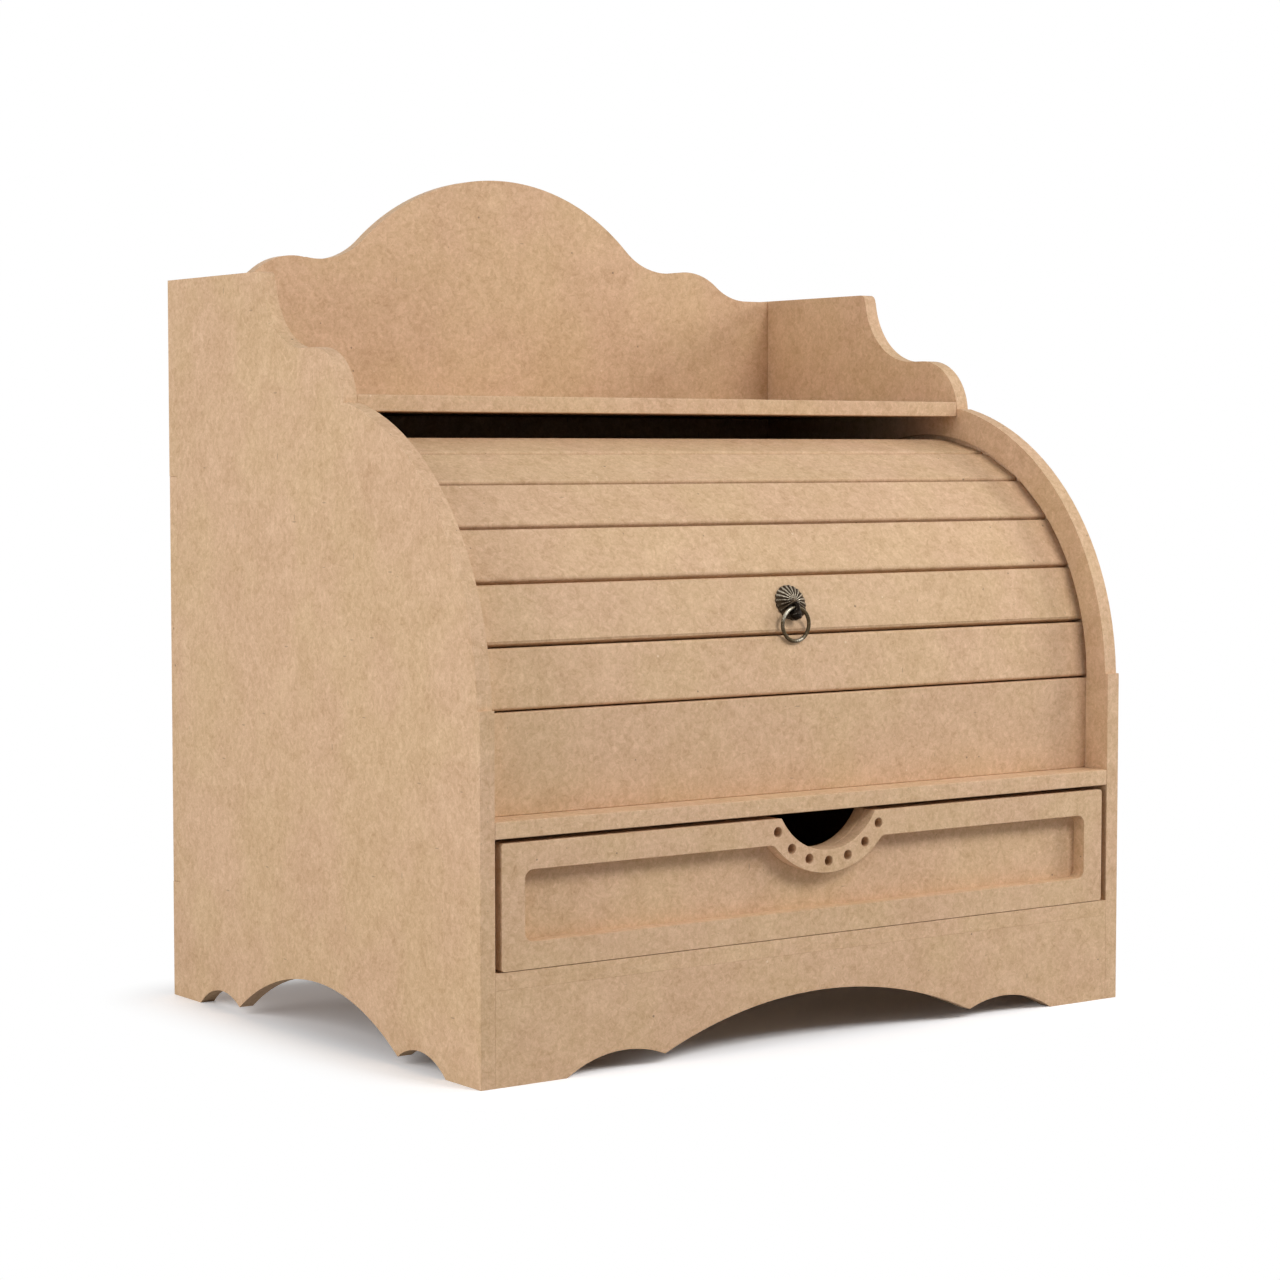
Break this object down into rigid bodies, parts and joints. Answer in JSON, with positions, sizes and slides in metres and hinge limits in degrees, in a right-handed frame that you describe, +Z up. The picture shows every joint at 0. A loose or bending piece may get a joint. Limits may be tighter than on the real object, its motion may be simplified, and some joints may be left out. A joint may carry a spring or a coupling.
{
  "type": "tambour lid box",
  "caption": "Roll-top storage box of plain board with a slatted lid that rolls back in side tracks, a drawer with a finger notch, scalloped feet and an open top shelf.",
  "frame": {"origin": "middle of the footprint, at floor level", "axes": "+X to the right seen from the front, +Y to the back, +Z up; the front faces -Y"},
  "size_m": [0.4, 0.3, 0.4395],
  "materials": {
    "board": "raw sanded medium-density fibreboard, matte",
    "drawer_board": "raw sanded medium-density fibreboard, matte",
    "slat_board": "raw sanded medium-density fibreboard, matte",
    "canvas": "unbleached cotton canvas",
    "antique_brass": "antiqued, dark in the hollows and rubbed on the edges",
    "steel": "zinc-plated"
  },
  "bodies": {
    "case": {"side_panel_left": "board", "side_panel_right": "board", "bottom_board": "board", "middle_shelf": "board", "top_shelf": "board", "back_board": "board", "crest_board": "board", "front_apron": "board", "front_board": "board"},
    "drawer": {"drawer_front_frame": "drawer_board", "drawer_front_panel": "drawer_board", "drawer_side_left": "drawer_board", "drawer_side_right": "drawer_board", "drawer_back": "drawer_board", "drawer_bottom": "drawer_board"},
    "lid": {"tambour_slat_1": "slat_board", "tambour_slat_2": "slat_board", "tambour_slat_3": "slat_board", "tambour_slat_4": "slat_board", "tambour_slat_5": "slat_board", "tambour_slat_6": "slat_board", "tambour_slat_7": "slat_board", "tambour_slat_8": "slat_board", "tambour_slat_9": "slat_board", "tambour_canvas": "canvas", "pull_plate": "antique_brass", "pull_post": "antique_brass", "pull_nut": "steel"},
    "ring": {"pull_ring": "antique_brass"}
  },
  "joints": [
    {"name": "drawer_slide", "type": "slide", "parent": "case", "child": "drawer", "axis": [0, -1, 0], "range_m": [0, 0.2]},
    {"name": "lid_roll", "type": "hinge", "parent": "case", "child": "lid", "pos_m": [0, -0.00499, 0.169], "axis": [-1, 0, 0], "range_deg": [0, 54]},
    {"name": "ring_swing", "type": "hinge", "parent": "lid", "child": "ring", "pos_m": [-0.0023, -0.13016, 0.21198], "axis": [-1, 0, 0], "range_deg": [0, 150]}
  ]
}
